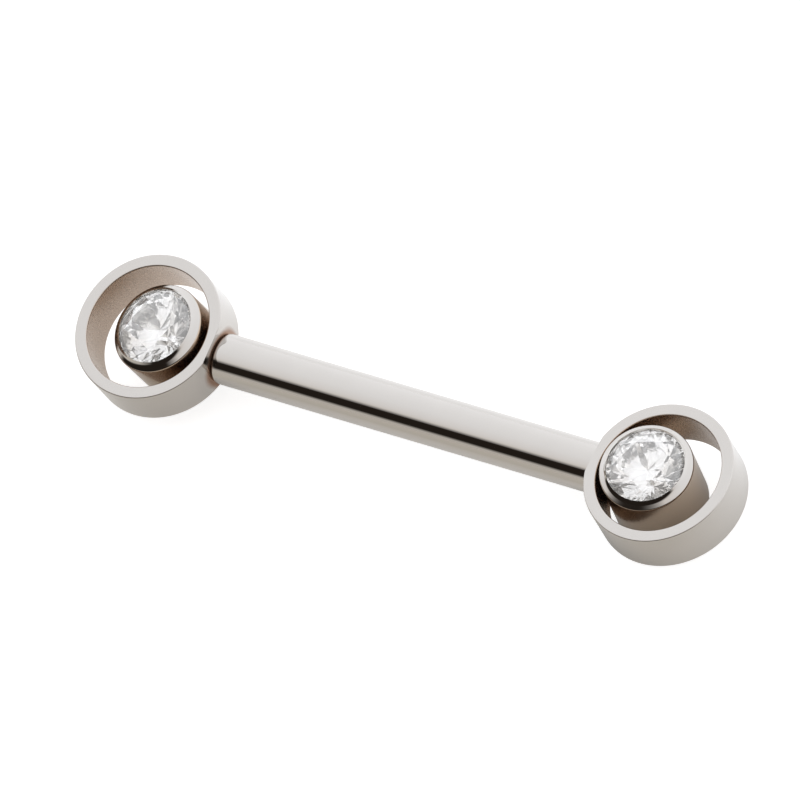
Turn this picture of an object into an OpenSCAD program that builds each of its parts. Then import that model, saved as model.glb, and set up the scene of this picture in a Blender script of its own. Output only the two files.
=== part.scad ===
// Straight body-jewellery barbell: a round polished bar with a stone-set ring pushed on at each end.
// The bar lies along X and the stones face +Z. The origin is on the surface that the piece rests on,
// under the middle of the bar. Both ends are the same part, and the right one is the left one
// turned half round about Z.

/* [Bar] */
// Diameter of the bar, 14 gauge
bar_d = 1.63; // [1.5:0.01:1.8]
// Length to wear, from one ring's flat seat to the other's
wear_len = 14; // [12:0.5:18]
// Rounding of the bar's end edges
bar_edge = 0.04; // [0.03:0.01:0.08]

/* [Ring] */
// Outside diameter of the ring
ring_d = 4.9; // [4.6:0.05:5.4]
// Wall of the ring
ring_wall = 0.4; // [0.35:0.05:0.45]
// Depth of the ring, front to back
ring_depth = 1.6; // [1.4:0.1:1.8]
// Height of the ring's front face above the bar's axis
ring_front = 1.09; // [1:0.01:1.2]
// Small bevel that breaks the ring's edges
ring_edge = 0.03; // [0.02:0.01:0.05]
// Width of the flat seat that is cut for the bar
seat_w = 1.4; // [1.2:0.1:1.6]
// Angle by which each end is turned about the bar, so the two faces differ by twice this
end_roll = 3.5; // [0:0.5:6]

/* [Cup] */
// Outside diameter of the cup that holds the stone
cup_d = 3.02; // [3:0.02:3.04]
// Distance of the cup from the ring's centre, towards the bar
cup_shift = 0.52; // [0.5:0.01:0.54]
// Angle by which the cup's face leans away from the bar
cup_lean = 5.8; // [4:0.2:7]
// Height of the cup's lip above the bar's axis
lip_top = 1.37; // [1.34:0.01:1.38]
// Depth of the cup's back below the bar's axis
cup_back = 1.25; // [1.15:0.05:1.35]
// Opening in the lip, which shows the stone
lip_open = 2.52; // [2.48:0.01:2.52]
// Width of the steep band that the burnisher left round the stone
band_w = 0.08; // [0.07:0.01:0.09]
// Slope of that band
band_slope = 46; // [43:1:48]
// Slope of the lip outside the band
lip_slope = 35; // [33:1:37]
// Rounding of the lip's outer edge
lip_round = 0.07; // [0.05:0.01:0.08]
// Rounding of the cup's back edge
back_round = 0.2; // [0.1:0.05:0.25]

/* [Stone] */
// Diameter of the round brilliant at its girdle
stone_d = 2.56; // [2.56:0.01:2.58]
// Width of the table as a share of the girdle
table_share = 0.57; // [0.53:0.01:0.6]
// Slope of the crown's main facets
crown_slope = 34.5; // [33:0.5:36]
// Slope of the pavilion's main facets
pavilion_slope = 40.8; // [40:0.2:42]
// Turn of the facets about the stone's axis
stone_turn = 0; // [0:1.5:45]

/* [Fit] */
// Gap between the bar's end and the ring's seat
seat_gap = 0.05; // [0.03:0.01:0.06]
// Diameter of the pin on each end
pin_d = 0.6; // [0.5:0.05:0.7]
// Length of the pin, from the seat to its tip
pin_len = 5; // [4:0.5:5.5]
// Gap between the pin and its bore, on the radius
pin_gap = 0.04; // [0.03:0.01:0.06]
// Gap between the stone and the cup
stone_gap = 0.03; // [0.02:0.01:0.04]

/* [Hidden] */
steel = [0.80, 0.78, 0.75];
crystal = [0.94, 0.95, 0.97];

round_fn = 96;                // facets of round bodies on screen
arc_steps = 6;                // straight steps in a small rounding
bore_extra = 0.5;             // bore beyond the pin's tip
bore_taper = 0.06;            // countersink at the bore's mouth
solder_d = 0.9;               // solder between the cup and the ring
solder_root = 0.7;            // start of the solder inside the cup, from the cup's axis
wall_bite = 0.15;             // how far the solder and the pin are sunk into the ring's wall
over = 1;                     // reach of a cutting body past what it cuts

mains = 8;                    // main facets of the crown and of the pavilion
step = 360 / mains;
half_step = step / 2;
girdle_t = 0.06;              // thickness of the girdle
star_share = 0.55;            // star facets, as a share from the table to the girdle
lower_share = 0.77;           // lower girdle facets, as a share from the girdle to the culet

bar_r = bar_d / 2;
ring_r = ring_d / 2;
cup_r = cup_d / 2;
lip_r = lip_open / 2;
stone_r = stone_d / 2;
pin_r = pin_d / 2;
bore_r = pin_r + pin_gap;

seat_in = sqrt(ring_r * ring_r - seat_w * seat_w / 4);   // seat plane from the ring's centre
ring_x = wear_len / 2 + seat_in;                          // ring's centre from the middle
seat_x = wear_len / 2;
bar_len = wear_len - 2 * seat_gap;
bore_len = pin_len - seat_gap + bore_extra;

// The cups' backs carry the piece: their lowest edge lies this far below the bar's axis.
tip = acos(cos(cup_lean) * cos(end_roll));
axis_h = (cup_back - back_round) * cos(tip) + (cup_r - back_round) * sin(tip) + back_round;

// Heights in the cup, from the bar's axis along the cup's own axis.
lip_edge = 0.07;                                          // thickness of the lip's inner edge
crown_rise = (stone_r - lip_r) * tan(crown_slope);
girdle_top = lip_top - lip_edge - stone_gap / cos(crown_slope) - crown_rise;
girdle_low = girdle_top - girdle_t;
table_r = table_share * stone_r;
table_z = girdle_top + (stone_r - table_r) * tan(crown_slope);
culet_z = girdle_low - stone_r * tan(pavilion_slope);
hollow_r = stone_r + stone_gap;
hollow_top = girdle_top + stone_gap;
hollow_low = girdle_low - stone_gap / cos(pavilion_slope);
hollow_tip = hollow_low - hollow_r * tan(pavilion_slope) + stone_gap;

// Points of an arc about c, from angle a0 to a1.
function arc(c, r, a0, a1) =
    [for (i = [0:arc_steps]) let (a = a0 + (a1 - a0) * i / arc_steps) c + r * [cos(a), sin(a)]];

// The cup's outer outline, from the lip's inner edge to the middle of the back.
band_r = lip_r + band_w;
band_z = lip_top - band_w * tan(band_slope);
round_r = cup_r - lip_round;
round_z = band_z - (round_r - band_r) * tan(lip_slope) - lip_round / cos(lip_slope);
cup_outline = concat(
    [[lip_r, lip_top], [band_r, band_z]],
    arc([round_r, round_z], lip_round, 90 - lip_slope, 0),
    arc([cup_r - back_round, -cup_back + back_round], back_round, 0, -90),
    [[0, -cup_back]]
);
// The hollow's outline, from its tip up to the lip's inner edge.
hollow_outline = [
    [0, hollow_tip],
    [hollow_r, hollow_low],
    [hollow_r, hollow_top],
    [lip_r, lip_top - lip_edge]
];

// A point on a main facet's plane of the stone, at radius r and angle a from that facet's middle.
function on_crown(r, a) = girdle_top + (stone_r - r * cos(a)) * tan(crown_slope);
function on_pavilion(r, a) = girdle_low - (stone_r - r * cos(a)) * tan(pavilion_slope);
function around(r, z, turn) = [for (i = [0:mains - 1]) let (a = i * step + turn) [r * cos(a), r * sin(a), z]];

table_flat = table_r * cos(half_step);
star_r = table_flat + star_share * (stone_r - table_flat);
lower_r = (1 - lower_share) * stone_r;
stone_points = concat(
    around(table_r, table_z, 0),                                  // 0: table's corners
    around(star_r, on_crown(star_r, half_step), half_step),       // 1: star facets' tips
    around(stone_r, girdle_top, 0),                               // 2: girdle's upper edge, mains
    around(stone_r, girdle_top, half_step),                       // 3: girdle's upper edge, between
    around(stone_r, girdle_low, 0),                               // 4: girdle's lower edge, mains
    around(stone_r, girdle_low, half_step),                       // 5: girdle's lower edge, between
    around(lower_r, on_pavilion(lower_r, half_step), half_step),  // 6: lower facets' tips
    [[0, 0, culet_z]]
);
culet = len(stone_points) - 1;
// Number of point i in a ring of points, counted round.
function at(ring, i) = ring * mains + (i + mains) % mains;
stone_faces = concat(
    [[for (i = [mains - 1:-1:0]) at(0, i)]],
    [for (i = [0:mains - 1]) [at(0, i), at(0, i + 1), at(1, i)]],
    [for (i = [0:mains - 1]) [at(0, i), at(1, i), at(2, i), at(1, i - 1)]],
    [for (i = [0:mains - 1]) [at(1, i), at(3, i), at(2, i)]],
    [for (i = [0:mains - 1]) [at(1, i), at(2, i + 1), at(3, i)]],
    [for (i = [0:mains - 1]) [at(2, i), at(3, i), at(5, i), at(4, i)]],
    [for (i = [0:mains - 1]) [at(3, i), at(2, i + 1), at(4, i + 1), at(5, i)]],
    [for (i = [0:mains - 1]) [at(4, i), at(5, i), at(6, i)]],
    [for (i = [0:mains - 1]) [at(5, i), at(4, i + 1), at(6, i)]],
    [for (i = [0:mains - 1]) [at(4, i), at(6, i), culet, at(6, i - 1)]]
);

// Lifts the piece onto its resting plane.
module lifted() {
    translate([0, 0, axis_h]) children();
}

// Puts a left end's body in place, or turns it half round for the right end.
module end_place(half_round) {
    lifted() rotate([0, 0, half_round]) rotate([end_roll, 0, 0]) children();
}

// Puts a body that stands on the cup's axis into the left end.
module cup_place() {
    translate([cup_shift - ring_x, 0, 0]) rotate([0, -cup_lean, 0]) children();
}

// A round body along X, from x0 to x1.
module rod(r, x0, x1) {
    translate([x0, 0, 0]) rotate([0, 90, 0]) cylinder(r = r, h = x1 - x0, $fn = round_fn);
}

// Half of the bar's section, turned about the bar's axis.
module bar_section() {
    square([bar_r - bar_edge, bar_len / 2]);
    square([bar_r, bar_len / 2 - bar_edge]);
    translate([bar_r - bar_edge, bar_len / 2 - bar_edge]) circle(r = bar_edge, $fn = round_fn);
}

// One half of the bar with its bore, from the middle towards +X.
module half_bar() {
    difference() {
        rotate([0, 90, 0]) rotate_extrude($fn = round_fn) bar_section();
        rod(bore_r, bar_len / 2 - bore_len, bar_len / 2 + over);
        translate([bar_len / 2 - bore_taper, 0, 0]) rotate([0, 90, 0])
            cylinder(r1 = bore_r, r2 = bore_r + 2 * bore_taper, h = 2 * bore_taper, $fn = round_fn);
    }
}

module bar() {
    color(steel) lifted() {
        half_bar();
        rotate([0, 0, 180]) half_bar();
    }
}

// Short open tube with broken edges and a flat seat on the side of the bar.
module ring() {
    inner = ring_r - ring_wall;
    translate([-ring_x, 0, ring_front - ring_depth]) difference() {
        rotate_extrude($fn = round_fn) polygon([
            [inner + ring_edge, 0],
            [ring_r - ring_edge, 0],
            [ring_r, ring_edge],
            [ring_r, ring_depth - ring_edge],
            [ring_r - ring_edge, ring_depth],
            [inner + ring_edge, ring_depth],
            [inner, ring_depth - ring_edge],
            [inner, ring_edge]
        ]);
        translate([seat_in, -seat_w, -over]) cube([over, 2 * seat_w, ring_depth + 2 * over]);
    }
}

// Turned cup with its lip burnished over the stone's edge.
module cup() {
    cup_place() difference() {
        rotate_extrude($fn = round_fn) polygon(concat(cup_outline, [[0, lip_top]]));
        rotate_extrude($fn = round_fn)
            polygon(concat(hollow_outline, [[lip_r, lip_top + over], [0, lip_top + over]]));
    }
}

// Ring, cup and pin, soldered into one.
module setting() {
    ring();
    cup();
    rod(solder_d / 2, cup_shift - ring_x + solder_root, -seat_x - wall_bite);
    rod(pin_r, -seat_x - wall_bite, -seat_x + pin_len);
}

module stone() {
    cup_place() rotate([0, 0, stone_turn]) polyhedron(points = stone_points, faces = stone_faces);
}

module left_setting() {
    color(steel) end_place(0) setting();
}

module right_setting() {
    color(steel) end_place(180) setting();
}

module left_stone() {
    color(crystal) end_place(0) stone();
}

module right_stone() {
    color(crystal) end_place(180) stone();
}

bar();
left_setting();
right_setting();
left_stone();
right_stone();
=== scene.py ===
# A straight barbell of polished surgical steel with a stone-set ring pushed on at each end, lying on
# its cups' backs on a lit white sheet. Sizes are in the jeweller's millimetres, and a piece is scaled
# to metres when it is finished.
from math import cos, pi, radians, sin, sqrt, tan, tau

import bmesh
import bpy
from mathutils import Matrix, Vector


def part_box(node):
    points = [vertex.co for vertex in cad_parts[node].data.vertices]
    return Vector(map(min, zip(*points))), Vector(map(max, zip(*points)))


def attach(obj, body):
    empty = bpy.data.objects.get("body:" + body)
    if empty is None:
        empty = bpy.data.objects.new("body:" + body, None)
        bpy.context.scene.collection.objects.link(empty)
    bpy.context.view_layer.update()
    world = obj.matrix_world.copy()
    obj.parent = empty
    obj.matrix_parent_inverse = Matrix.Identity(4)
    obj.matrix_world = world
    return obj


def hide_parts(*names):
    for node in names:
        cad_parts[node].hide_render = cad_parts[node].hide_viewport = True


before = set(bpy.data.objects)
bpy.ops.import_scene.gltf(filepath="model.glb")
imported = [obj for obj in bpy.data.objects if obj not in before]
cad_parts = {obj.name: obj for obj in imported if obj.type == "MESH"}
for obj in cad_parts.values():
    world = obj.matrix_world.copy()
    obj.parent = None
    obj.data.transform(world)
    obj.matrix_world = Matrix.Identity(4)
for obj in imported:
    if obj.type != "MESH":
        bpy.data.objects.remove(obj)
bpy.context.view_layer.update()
scene = bpy.context.scene

# Camera: a long lens about a metre away, above the floor and in front of the bar's right end, rolled
# so that the bar runs down to the right across the picture.
mm = 0.001
camera_azimuth = radians(58.37)
camera_elevation = radians(56.51)
camera_roll = radians(-37.13)
camera_distance = 1.07658
aim = Vector((-0.6694, 0.3606, 1.3971)) * mm
sensor = 36
lens = 1555.24

back = Vector((
    sin(camera_azimuth) * cos(camera_elevation),
    -cos(camera_azimuth) * cos(camera_elevation),
    sin(camera_elevation),
))
camera_data = bpy.data.cameras.new("camera")
camera_data.sensor_width = sensor
camera_data.lens = lens
camera_data.clip_start = 0.05
camera_data.clip_end = 20
camera = bpy.data.objects.new("camera", camera_data)
camera.location = aim + back * camera_distance
camera.rotation_euler = (
    (-back).to_track_quat("-Z", "Y").to_matrix().to_4x4() @ Matrix.Rotation(camera_roll, 4, "Z")
).to_euler()
bpy.context.collection.objects.link(camera)
scene.camera = camera
scene.view_settings.view_transform = "Standard"

# Light: a white tent that glows most at its back. Its open front is a dark room, which polished metal
# shows as one black line along the bar, over the lit strip of the table's far edge. Light goes round
# inside the stones and between the cups and rings many times, so paths are kept long.
tent_facing = radians(-84)
tent_strength = 1.42
tent_tones = (                # degrees up over the tent from its open front, and the colour there
    (8, "#bdb9b3"),
    (20, "#231e1a"),
    (49, "#231e1a"),
    (62, "#d9d6d3"),
    (72, "#e2e1e1"),
    (100, "#ebecee"),
    (180, "#fafcff"),
)
scene.cycles.max_bounces = 24
scene.cycles.glossy_bounces = 16
scene.cycles.transmission_bounces = 24


def linear(code):
    """Turns an sRGB hex colour into linear light, with alpha 1."""
    parts = [int(code[i:i + 2], 16) / 255 for i in (1, 3, 5)]
    return (*[p / 12.92 if p <= 0.04045 else ((p + 0.055) / 1.055) ** 2.4 for p in parts], 1)


def add(tree, kind, inputs=None, **settings):
    """Adds a node with its settings. An input is a plain value, or another node's output to link."""
    node = tree.nodes.new(kind)
    for name, value in settings.items():
        setattr(node, name, value)
    for name, value in (inputs or {}).items():
        if isinstance(value, bpy.types.NodeSocket):
            tree.links.new(value, node.inputs[name])
        else:
            node.inputs[name].default_value = value
    return node


world = bpy.data.worlds.new("light_tent")
world.use_nodes = True
tree = world.node_tree
tree.nodes.clear()
direction = add(tree, "ShaderNodeTexCoord").outputs["Generated"]
upward = add(tree, "ShaderNodeSeparateXYZ", {0: direction}).outputs["Z"]
forward = add(tree, "ShaderNodeVectorMath",
              {0: direction, 1: (cos(tent_facing), sin(tent_facing), 0)}, operation="DOT_PRODUCT")
rise = add(tree, "ShaderNodeMath", {0: upward, 1: forward.outputs["Value"]}, operation="ARCTAN2")
share = add(tree, "ShaderNodeMapRange", {"Value": rise.outputs[0], "From Min": 0, "From Max": pi})
tones = add(tree, "ShaderNodeValToRGB", {"Fac": share.outputs[0]})
stops = tones.color_ramp.elements
while len(stops) < len(tent_tones):
    stops.new(1)
for stop, (degrees, code) in zip(stops, tent_tones):
    stop.position = degrees / 180
    stop.color = linear(code)
glow = add(tree, "ShaderNodeBackground",
           {"Color": tones.outputs["Color"], "Strength": tent_strength})
add(tree, "ShaderNodeOutputWorld", {"Surface": glow.outputs[0]})
scene.world = world

# Floor: opal acrylic lit from below, so that it is white with faint shadows. The metal shows the table
# instead, a sheet seen only in reflections with painted light and shade: warmer, darker card in front
# of the piece, white card that glows behind it, and a painted shadow under its right end. So the two
# are sheets of their own: the camera sees the first, reflections the second.
floor_half = 1.5
card_rough = 0.9
table_front = -5 * mm
table_back = 4 * mm
# Painted shadow: the table's colour and glow darken in a soft disc round this point, under the right
# end.
shade_middle = (8.8 * mm, -0.4 * mm, 0)
shade_inner = 1 * mm
shade_outer = 4 * mm
sheets = {
    # depth under the piece in mm, colour in front and behind, glow in front and behind (on the table,
    # painted light), and the share of the light that is left in the painted shadow
    "floor": (0.015, "#c2c1c0", "#c2c1c0", 0.78, 0.78, 1),
    "mirrored_table": (0.005, "#ddd7cc", "#f5f7f9", 0.05, 0.42, 0.4),
}


def new_material(name):
    """A material with an empty tree, and the tree."""
    material = bpy.data.materials.new(name)
    material.use_nodes = True
    material.node_tree.nodes.clear()
    return material, material.node_tree


for name, (depth, front_tone, back_tone, front_glow, back_glow, shaded) in sheets.items():
    bm = bmesh.new()
    bmesh.ops.create_grid(bm, x_segments=1, y_segments=1, size=floor_half)
    bmesh.ops.translate(bm, verts=bm.verts, vec=(0, 0, -depth * mm))
    mesh = bpy.data.meshes.new(name)
    bm.to_mesh(mesh)
    bm.free()
    material, tree = new_material(name + "_card")
    where = add(tree, "ShaderNodeTexCoord").outputs["Object"]
    along = add(tree, "ShaderNodeSeparateXYZ", {0: where}).outputs["Y"]
    share = add(tree, "ShaderNodeMapRange",
                {"Value": along, "From Min": table_front, "From Max": table_back}).outputs[0]
    tint = add(tree, "ShaderNodeMix", {0: share, 6: linear(front_tone), 7: linear(back_tone)},
               data_type="RGBA").outputs[2]
    lit = add(tree, "ShaderNodeMapRange",
              {"Value": share, "To Min": front_glow, "To Max": back_glow}).outputs[0]
    # Painted light and shade: colour and glow change from front to back, and darken round the shadow's
    # middle.
    reach = add(tree, "ShaderNodeVectorMath", {0: where, 1: shade_middle}, operation="DISTANCE")
    shade = add(tree, "ShaderNodeMapRange", {
        "Value": reach.outputs["Value"], "From Min": shade_inner, "From Max": shade_outer,
        "To Min": shaded, "To Max": 1}, interpolation_type="SMOOTHSTEP").outputs[0]
    tint = add(tree, "ShaderNodeVectorMath", {0: tint, "Scale": shade}, operation="SCALE").outputs[0]
    glow = add(tree, "ShaderNodeMath", {0: lit, 1: shade}, operation="MULTIPLY").outputs[0]
    bsdf = add(tree, "ShaderNodeBsdfPrincipled", {
        "Base Color": tint, "Roughness": card_rough, "Specular IOR Level": 0.0,
        "Emission Color": (1, 1, 1, 1), "Emission Strength": glow})
    add(tree, "ShaderNodeOutputMaterial", {"Surface": bsdf.outputs[0]})
    mesh.materials.append(material)
    sheet = bpy.data.objects.new(name, mesh)
    bpy.context.collection.objects.link(sheet)
    reflected = name != "floor"
    sheet.visible_glossy = reflected
    sheet.visible_camera = sheet.visible_diffuse = sheet.visible_transmission = not reflected
    sheet.visible_shadow = False

# Bar: a round rod of surgical steel, turned to length, bored from both ends for the rings' pins, its
# edges rounded, and then polished to a mirror along with faint lengthwise polishing lines.
bar_low, bar_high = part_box("bar")
bar_r = (bar_high.z - bar_low.z) / 2 / mm
bar_half = bar_high.x / mm
axis_h = (bar_high.z + bar_low.z) / 2 / mm
bar_edge = 0.04
bar_steps = 160
bore_r = 0.34
bore_depth = 5.45
bore_taper = 0.06
round_steps = 8               # straight steps in a rounded edge
hold = 0.006                  # room between a rounded edge and the points that hold its flats
sharp_edge = radians(35)

steel_tone = "#c8c4c0"
cloud_per_mm = 1.2            # uneven colour of the steel, and the share of light in its darker parts
cloud_dark = 0.96
line_span = (0.3, 0.7)        # values that the lines' noise mostly keeps to
line_rough = (0.7, 1.4)       # shares of the steel's roughness between and on the lines
line_bump = 0.03
line_depth = 0.002 * mm
gap_rough = 0.12            # roughness added where the painted shade lies, between cup and ring
heat_tone = "#937460"
heat_metal = 0.8


def outline(points, rounded):
    """A wire through (along, out) points in the XZ plane. rounded gives some corners' radius. A held
    point stands close to each end of a rounding, so that the flats beside it keep their shading."""
    bm = bmesh.new()
    places = [Vector((along, 0, out)) for along, out in points]
    verts, corners = [], []
    for i, place in enumerate(places):
        if i in rounded:
            ways = [(places[i + k] - place).normalized() for k in (-1, 1)]
            reach = rounded[i] / tan(ways[0].angle(ways[1]) / 2)
            held = [bm.verts.new(place + way * (reach + hold)) for way in ways]
            corners.append((bm.verts.new(place), reach))
            verts += [held[0], corners[-1][0], held[1]]
        else:
            verts.append(bm.verts.new(place))
    for a, b in zip(verts, verts[1:]):
        bm.edges.new((a, b))
    for corner, reach in corners:
        bmesh.ops.bevel(bm, geom=[corner], affect="VERTICES", offset=reach, offset_type="OFFSET",
                        segments=round_steps, profile=0.5, material=-1, clamp_overlap=False)
    return bm


def spun(bm, axis, steps):
    """Spins the wire once round an axis through the origin, and turns its faces outwards."""
    bmesh.ops.spin(bm, geom=bm.verts[:] + bm.edges[:], cent=(0, 0, 0), axis=axis, dvec=(0, 0, 0),
                   angle=tau, steps=steps, use_merge=True)
    bmesh.ops.remove_doubles(bm, verts=bm.verts, dist=1e-5)
    bmesh.ops.dissolve_degenerate(bm, edges=bm.edges, dist=1e-6)
    bmesh.ops.recalc_face_normals(bm, faces=bm.faces)


def piece(name, bm, place, materials, body, node):
    """Finishes a piece: places it, scales it to metres, and gives it its finish and its body. The
    lathe attribute keeps where each point was, in mm, before the piece was placed."""
    lathe = bm.verts.layers.float_vector.new("lathe")
    for vert in bm.verts:
        vert[lathe] = vert.co
    bmesh.ops.transform(bm, matrix=Matrix.Scale(mm, 4) @ place, verts=bm.verts)
    mesh = bpy.data.meshes.new(name)
    bm.to_mesh(mesh)
    bm.free()
    mesh.shade_smooth()
    mesh.set_sharp_from_angle(angle=sharp_edge)
    made = bpy.data.objects.new(name, mesh)
    bpy.context.collection.objects.link(made)
    for material in materials:
        mesh.materials.append(material)
    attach(made, body)
    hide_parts(node)


def steel(name, tone, rough, line_mm, stretch, heat=None, gap_shade=None):
    """Steel finished with fine lines: stretch is how the lines run along the lathe's coordinates. heat
    is how far along X the metal was soldered, the reach of the full heat tint, and where it ends.
    The last argument gives painted shade between cup and ring, a darker, warmer tone with a duller
    finish: the radii where it starts and where it is full, and its colour."""
    material, tree = new_material(name)
    where = add(tree, "ShaderNodeAttribute", attribute_name="lathe").outputs["Vector"]
    turned = add(tree, "ShaderNodeMapping", {"Vector": where, "Scale": stretch}).outputs[0]
    lines = add(tree, "ShaderNodeTexNoise",
                {"Vector": turned, "Scale": 1 / line_mm, "Detail": 4, "Roughness": 0.6}).outputs[0]
    cloud = add(tree, "ShaderNodeTexNoise",
                {"Vector": where, "Scale": cloud_per_mm, "Detail": 3}).outputs[0]
    dull = add(tree, "ShaderNodeMapRange", {
        "Value": lines, "From Min": line_span[0], "From Max": line_span[1],
        "To Min": rough * line_rough[0], "To Max": rough * line_rough[1]}).outputs[0]
    darker = [c * cloud_dark for c in linear(tone)[:3]] + [1]
    tint = add(tree, "ShaderNodeMix", {"Factor": cloud, 6: linear(tone), 7: darker},
               data_type="RGBA").outputs[2]
    # Painted shade: a darker, warmer tone in the gap between cup and ring, with a duller finish.
    if gap_shade:
        start, full, gap_shade_tone = gap_shade
        flat = add(tree, "ShaderNodeVectorMath", {0: where, 1: (1, 1, 0)},
                   operation="MULTIPLY").outputs[0]
        out = add(tree, "ShaderNodeVectorMath", {0: flat}, operation="LENGTH").outputs["Value"]
        gap_shade_mask = add(tree, "ShaderNodeMapRange",
                   {"Value": out, "From Min": start, "From Max": full}).outputs[0]
        tint = add(tree, "ShaderNodeMix", {"Factor": gap_shade_mask, 6: tint, 7: linear(gap_shade_tone)},
                   data_type="RGBA").outputs[2]
        dull = add(tree, "ShaderNodeMath", {0: gap_shade_mask, 1: gap_rough, 2: dull},
                   operation="MULTIPLY_ADD").outputs[0]
    metal = 1.0
    if heat:
        joint, reach, end = heat
        far = add(tree, "ShaderNodeVectorMath", {0: where, 1: (joint, 0, 0)},
                  operation="DISTANCE").outputs["Value"]
        warm = add(tree, "ShaderNodeMapRange", {
            "Value": far, "From Min": reach, "From Max": end, "To Min": 1, "To Max": 0},
            interpolation_type="SMOOTHSTEP").outputs[0]
        tint = add(tree, "ShaderNodeMix", {"Factor": warm, 6: tint, 7: linear(heat_tone)},
                   data_type="RGBA").outputs[2]
        metal = add(tree, "ShaderNodeMapRange",
                    {"Value": warm, "To Min": 1, "To Max": heat_metal}).outputs[0]
    bump = add(tree, "ShaderNodeBump",
               {"Height": lines, "Strength": line_bump, "Distance": line_depth}).outputs[0]
    bsdf = add(tree, "ShaderNodeBsdfPrincipled",
               {"Base Color": tint, "Metallic": metal, "Roughness": dull, "Normal": bump})
    add(tree, "ShaderNodeOutputMaterial", {"Surface": bsdf.outputs[0]})
    return material


# Mirror polished steel: the buff's lines run along the bar, 0.12 mm apart and 20 times as long. Real
# ones are finer, and are drawn coarser here. They blur the dark reflection's edges very slightly.
bar_steel = steel("mirror_polished_steel", steel_tone, 0.05, 0.12, (0.05, 1, 1))
on_axis = Matrix.Translation((0, 0, axis_h))

half = outline(
    [(bar_half - bore_depth, 0), (bar_half - bore_depth, bore_r), (bar_half - bore_taper, bore_r),
     (bar_half, bore_r + bore_taper), (bar_half, bar_r), (0, bar_r)],
    {4: bar_edge},
)
spun(half, (1, 0, 0), bar_steps)
bmesh.ops.mirror(half, geom=half.verts[:] + half.edges[:] + half.faces[:], axis="X", merge_dist=1e-4)
bmesh.ops.recalc_face_normals(half, faces=half.faces)
piece("bar_rod", half, on_axis, [bar_steel], "bar", "bar")

# Rings: a short open tube at each end, parted from steel tube, its faces satined on fine paper and
# its edges broken, with a flat filed on the outside where the bar's end comes up to it.
ring_r = 2.45
ring_wall = 0.4
ring_depth = 1.6
ring_front = 1.09
ring_edge = 0.05
ring_steps = 224
seat_w = 1.4
seat_x = 7.0
end_roll = radians(3.5)
heat_reach = 0.84
heat_end = 1.08
ring_gap_shade_fade = 0.04
ring_in = ring_r - ring_wall
seat_in = sqrt(ring_r ** 2 - (seat_w / 2) ** 2)
ring_x = seat_x + seat_in
ends = {"left": 0, "right": radians(180)}

# Satined steel: the fine paper's even grain, 0.05 mm, softens what the ring mirrors. A brown heat
# tint shows round the bar's end, and painted shade makes the inside darker and warmer, with a duller
# finish.
ring_steel = steel("satined_steel", steel_tone, 0.14, 0.05, (1, 1, 1),
                   heat=(seat_in, heat_reach, heat_end),
                   gap_shade=(ring_in + ring_gap_shade_fade, ring_in, "#bfaea0"))


def end_place(side):
    """Where a body drawn for the left end goes, or half round from it for the right end."""
    return on_axis @ Matrix.Rotation(ends[side], 4, "Z") @ Matrix.Rotation(end_roll, 4, "X")


for side in ends:
    low, high = ring_front - ring_depth, ring_front
    middle = (ring_in, (low + high) / 2)
    tube = outline([middle, (ring_in, low), (ring_r, low), (ring_r, high), (ring_in, high), middle],
                   {corner: ring_edge for corner in (1, 2, 3, 4)})
    spun(tube, (0, 0, 1), ring_steps)
    bmesh.ops.bisect_plane(tube, geom=tube.verts[:] + tube.edges[:] + tube.faces[:], dist=1e-6,
                           plane_co=(seat_in, 0, 0), plane_no=(1, 0, 0), clear_outer=True)
    bmesh.ops.holes_fill(tube, edges=[e for e in tube.edges if e.is_boundary], sides=0)
    bmesh.ops.recalc_face_normals(tube, faces=tube.faces)
    piece(side + "_ring", tube, end_place(side) @ Matrix.Translation((-ring_x, 0, 0)), [ring_steel],
          side + "_end", side + "_setting")

# Cups: a turned steel cup stands in each ring, close to the bar's side, leaning a little outwards. Its
# lip was burnished down over the stone's edge, steepest next to the stone, and the seat under the stone
# is silvered.
cup_r = 1.51
cup_shift = 0.52
cup_lean = radians(5.8)
cup_back = 1.25
cup_steps = 192
lip_top = 1.37
lip_r = 1.26
lip_edge = 0.07
lip_slope = radians(35)
lip_round = 0.07
band_w = 0.08
band_slope = radians(46)
band_round = 0.4
back_round = 0.2
stone_r = 1.28
stone_gap = 0.03
girdle_t = 0.06
crown_slope = radians(34.5)
pavilion_slope = radians(40.8)
cup_gap_shade_start = 0.03        # depths under the cup's wall where the painted shade starts and is full
cup_gap_shade_full = 0.01

# Turned steel: the tool's faint rings, 0.1 mm apart on the wall, under a bright polish that gives the
# lip its hard black arc. The wall has the same painted shade as the ring's inside: darker, warmer,
# duller.
cup_steel = steel("bright_turned_steel", steel_tone, 0.06, 0.1, (0.1, 0.1, 1),
                  gap_shade=(cup_r - cup_gap_shade_start, cup_r - cup_gap_shade_full, "#b9a693"))

# Silver plate behind the stone: near white and a little soft, it keeps the facets bright.
seat_silver = steel("silvered_seat", "#f4f3f1", 0.1, 0.1, (0.1, 0.1, 1))

girdle_top = lip_top - lip_edge - stone_gap / cos(crown_slope) - (stone_r - lip_r) * tan(crown_slope)
girdle_low = girdle_top - girdle_t
hollow_r = stone_r + stone_gap
hollow_top = girdle_top + stone_gap
hollow_low = girdle_low - stone_gap / cos(pavilion_slope)
hollow_tip = hollow_low - hollow_r * tan(pavilion_slope) + stone_gap
band_r = lip_r + band_w
band_z = lip_top - band_w * tan(band_slope)
shoulder_z = band_z - (cup_r - band_r) * tan(lip_slope)


def cup_place(side):
    """Stands a body on the cup's own axis in its ring."""
    return (end_place(side) @ Matrix.Translation((cup_shift - ring_x, 0, 0))
            @ Matrix.Rotation(-cup_lean, 4, "Y"))


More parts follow.
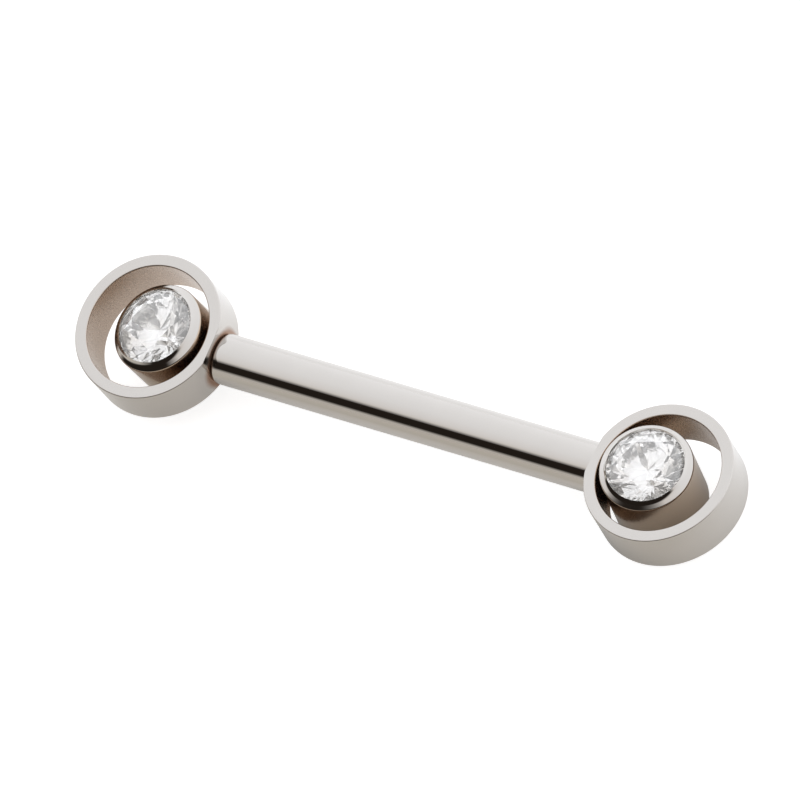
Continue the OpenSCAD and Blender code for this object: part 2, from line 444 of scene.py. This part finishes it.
for side in ends:
    cup = outline(
        [(0, hollow_tip), (hollow_r, hollow_low), (hollow_r, hollow_top),
         (lip_r, lip_top - lip_edge), (lip_r, lip_top), (band_r, band_z), (cup_r, shoulder_z),
         (cup_r, -cup_back), (0, -cup_back)],
        {5: band_round, 6: lip_round, 7: back_round},
    )
    spun(cup, (0, 0, 1), cup_steps)
    for face in cup.faces:
        middle = face.calc_center_median()
        in_hollow = hollow_tip - hold < middle.z < hollow_top
        if in_hollow and middle.xy.length < hollow_r + hold:
            face.material_index = 1
    piece(side + "_cup", cup, cup_place(side), [cup_steel, seat_silver], side + "_end",
          side + "_setting")

# Solder and pins: a bead of hard solder joins each cup to its ring on the bar's side, and a plain pin
# is set in the ring's flat there. The pin pushes into the bar's bore and holds by its spring.
solder_r = 0.45
solder_root = 0.7
wall_bite = 0.15
pin_r = 0.3
pin_len = 5
pin_tip = 0.06
pin_steps = 64

# Silver solder: a slightly yellower, duller metal with the 0.08 mm grain of a cast surface.
solder_steel = steel("silver_solder", "#c9c5bd", 0.2, 0.08, (1, 1, 1))

for side in ends:
    start, end = cup_shift - ring_x + solder_root, -seat_x - wall_bite
    bead = outline([(start, 0), (start, solder_r), (end, solder_r), (end, 0)], {})
    spun(bead, (1, 0, 0), pin_steps)
    piece(side + "_solder", bead, end_place(side), [solder_steel], side + "_end",
          side + "_setting")
    root, point = -seat_x - wall_bite, -seat_x + pin_len
    pin = outline([(root, 0), (root, pin_r), (point, pin_r), (point, 0)], {2: pin_tip})
    spun(pin, (1, 0, 0), pin_steps)
    piece(side + "_pin", pin, end_place(side), [bar_steel], side + "_end",
          side + "_setting")

# Stones: round brilliants of clear cubic zirconia, cut with a table, 32 crown facets and 24 pavilion
# facets, polished on a lap. They are the frame's own nodes, in a clear gem finish.
zirconia_ior = 2.15
clear = "#fdfcfb"
clearness = 0.91              # the rest is the white bloom of dust and skin grease on the facets
inner_light = 0.012           # light that goes round inside for longer than paths are traced
lap_size = 0.2 * mm
lap_span = (0.35, 0.75)       # values that the lap's noise mostly keeps to
lap_rough = 0.012

# Cubic zirconia: clear, with sharp facet edges. The lap's faint unevenness, 0.2 mm across, varies how
# crisp each facet's reflection is.
gem, tree = new_material("clear_cubic_zirconia")
where = add(tree, "ShaderNodeTexCoord").outputs["Object"]
lap = add(tree, "ShaderNodeTexNoise", {"Vector": where, "Scale": 1 / lap_size, "Detail": 3}).outputs[0]
polish = add(tree, "ShaderNodeMapRange", {
    "Value": lap, "From Min": lap_span[0], "From Max": lap_span[1],
    "To Min": 0.0, "To Max": lap_rough}).outputs[0]
bsdf = add(tree, "ShaderNodeBsdfPrincipled", {
    "Base Color": linear(clear), "Roughness": polish, "IOR": zirconia_ior,
    "Transmission Weight": clearness, "Emission Color": linear(clear), "Emission Strength": inner_light})
add(tree, "ShaderNodeOutputMaterial", {"Surface": bsdf.outputs[0]})
for side in ends:
    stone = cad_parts[side + "_stone"]
    stone.data.materials.clear()
    stone.data.materials.append(gem)
